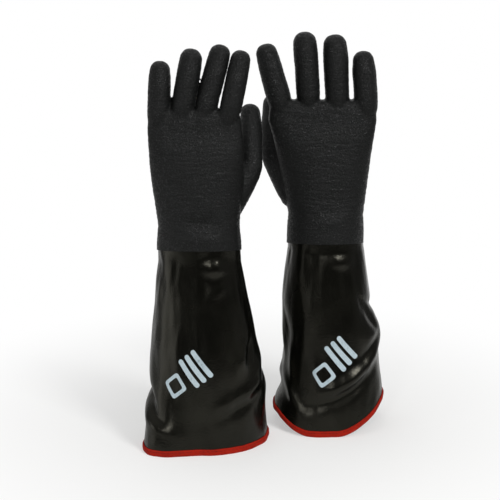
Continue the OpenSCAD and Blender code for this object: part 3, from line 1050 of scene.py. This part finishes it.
def screen_ink():
    """Matt screen-print ink, a light grey-blue, paler and darker where it lies thick and thin."""
    material, tree, shader, place = finish_of("screen_print_ink")
    thin = lumps(tree, place, 420.0, 3.0)
    cover = maths(tree, "ADD", thin, lumps(tree, place, 60.0))
    fill(tree, shader, {
        "Base Color": ramp(tree, cover, [(0.62, linear("#7f9097")), (0.8, linear("#a9bac2")),
                                         (1.0, linear("#b6c6cd"))]),
        "Roughness": 0.55,
        "Normal": bump(tree, thin, 0.2, 0.1 * MM),
    })
    return material


def cloth_finish(name, dark, light, thread, rough):
    """A woven or knitted cloth: threads crossing at a real spacing, with soft painted shade between them."""
    material, tree, shader, place = finish_of(name)
    tight = WAVE_SPACING / thread

    def threads(direction, wander):
        inputs = {"Vector": place, "Scale": tight, "Distortion": wander, "Detail": 1.0}
        made = node(tree, "ShaderNodeTexWave", inputs, wave_type="BANDS", bands_direction=direction)
        return made.outputs["Fac"]

    weave = maths(tree, "MULTIPLY", threads("DIAGONAL", 0.6), threads("Z", 0.5))
    # the colour is dark in the gaps of the weave, a painted shade between the threads, with a random fuzz of
    # tone over it
    weave_shade_and_fuzz = maths(tree, "ADD", weave, lumps(tree, place, 90.0, 4.0))
    fill(tree, shader, {
        "Base Color": ramp(tree, weave_shade_and_fuzz, [(0.35, linear(dark)), (1.0, linear(light))]),
        "Roughness": rough,
        "Specular IOR Level": 0.2,
        "Normal": bump(tree, weave, 0.6, thread * 0.4),
    })
    return material


ROUGH_COAT = rough_coating()
SMOOTH_COAT = smooth_coating()
INK_FINISH = screen_ink()
# red twill bias tape, its threads drawn coarse enough to show
TAPE = cloth_finish("red_bias_tape", "#861404", "#b01d06", 0.9 * MM, 0.85)
THREAD = cloth_finish("red_sewing_thread", "#6c0f06", "#98190b", 0.4 * MM, 0.7)
# unbleached cotton jersey inside the sleeve, and the brushed knit inside the hand
COTTON = cloth_finish("unbleached_cotton_jersey", "#a9a08c", "#d8d1bf", 1.2 * MM, 0.9)
KNIT = cloth_finish("brushed_knit", "#9d9480", "#cfc7b3", 2.0 * MM, 0.95)


# ---------------------------------------------------------------- the studio
# Each lamp's place (m), size (m) and power (W)
LAMPS = {
    "key": ((1.1, -1.35, 1.4), 0.55, 25),
    "front_fill": ((-0.45, -1.8, 0.8), 0.25, 6),
    "window": ((-1.7, -0.6, 0.12), 1.3, 8),
    "top": ((-0.2, 0.4, 1.9), 0.9, 5),
}


def studio():
    """A pale floor, a white surround and soft lamps from the front and above."""
    bpy.ops.object.select_all(action="DESELECT")
    bpy.ops.mesh.primitive_circle_add(vertices=128, radius=FLOOR_REACH, fill_type="NGON")
    floor = bpy.context.active_object
    floor.name = "floor"
    floor.data.materials.append(white_paper())
    white_surround()
    for name, (place, size, power) in LAMPS.items():
        data = bpy.data.lights.new(name, "AREA")
        data.energy = power
        data.size = size
        lamp = bpy.data.objects.new(name, data)
        lamp.location = place
        lamp.rotation_euler = (LAMP_AIM - Vector(place)).to_track_quat("-Z", "Y").to_euler()
        bpy.context.scene.collection.objects.link(lamp)


def seen_directly(tree):
    """1 for what the camera sees, plainly or through something clear."""
    path = node(tree, "ShaderNodeLightPath")
    return maths(tree, "MAXIMUM", path.outputs["Is Camera Ray"], path.outputs["Is Transmission Ray"])


def white_paper():
    """A round of seamless paper: it keeps the shadow near the gloves and runs out to white."""
    material, tree, shader, place = finish_of("white_backdrop_paper")
    fill(tree, shader, {"Base Color": linear("#f6f6f4"), "Roughness": 0.95})
    white = node(tree, "ShaderNodeEmission", {"Color": WHITE, "Strength": 1.0})
    reach = node(tree, "ShaderNodeVectorMath", {0: place}, operation="LENGTH").outputs["Value"]
    fade = eased(tree, reach, (0.1, FLOOR_REACH * 0.9), (0.4, 1.0))
    share = maths(tree, "MULTIPLY", fade, seen_directly(tree))
    mix = node(tree, "ShaderNodeMixShader",
               {"Fac": share, 1: shader.outputs["BSDF"], 2: white.outputs["Emission"]})
    fill(tree, tree.nodes["Material Output"], {"Surface": mix.outputs["Shader"]})
    return material


def white_surround():
    """White to the camera all round, and behind the gloves in their gloss; the room in front is dim."""
    world = bpy.data.worlds.new("studio")
    bpy.context.scene.world = world
    world.use_nodes = True
    tree = world.node_tree
    way = node(tree, "ShaderNodeTexCoord").outputs["Generated"]
    axes = node(tree, "ShaderNodeSeparateXYZ", {"Vector": way})
    glossy = node(tree, "ShaderNodeLightPath").outputs["Is Glossy Ray"]
    mirrored = maths(tree, "MULTIPLY", glossy, eased(tree, axes.outputs["Y"], (0.35, 0.8)))
    seen = maths(tree, "MAXIMUM", seen_directly(tree), mirrored)
    # the pale walls begin well to the sides of the camera
    walls = eased(tree, axes.outputs["Y"], (-0.66, -0.45), (0.04, 0.2))
    above = eased(tree, axes.outputs["Z"], (0.35, 0.75), (0.0, 0.28))
    soft = tree.nodes["Background"]
    fill(tree, soft, {"Color": WHITE, "Strength": maths(tree, "ADD", walls, above)})
    white = node(tree, "ShaderNodeBackground", {"Color": WHITE, "Strength": 1.0})
    mix = node(tree, "ShaderNodeMixShader",
               {"Fac": seen, 1: soft.outputs["Background"], 2: white.outputs["Background"]})
    fill(tree, tree.nodes["World Output"], {"Surface": mix.outputs["Shader"]})


def camera():
    """Level with the upper sleeves: a long lens, from well back and a little above."""
    data = bpy.data.cameras.new("camera")
    data.sensor_width = 36
    data.lens = CAMERA_LENS
    obj = bpy.data.objects.new("camera", data)
    back = Vector((0, -cos(CAMERA_RISE), sin(CAMERA_RISE)))
    obj.location = CAMERA_TARGET + back * CAMERA_DISTANCE
    obj.rotation_euler = (pi / 2 - CAMERA_RISE, 0, 0)
    bpy.context.scene.collection.objects.link(obj)
    bpy.context.scene.camera = obj


# ---------------------------------------------------------------- making it
camera()
studio()
for side in SIDES:
    hand(side, sleeve_of(side))
bpy.context.scene.view_settings.view_transform = "Standard"
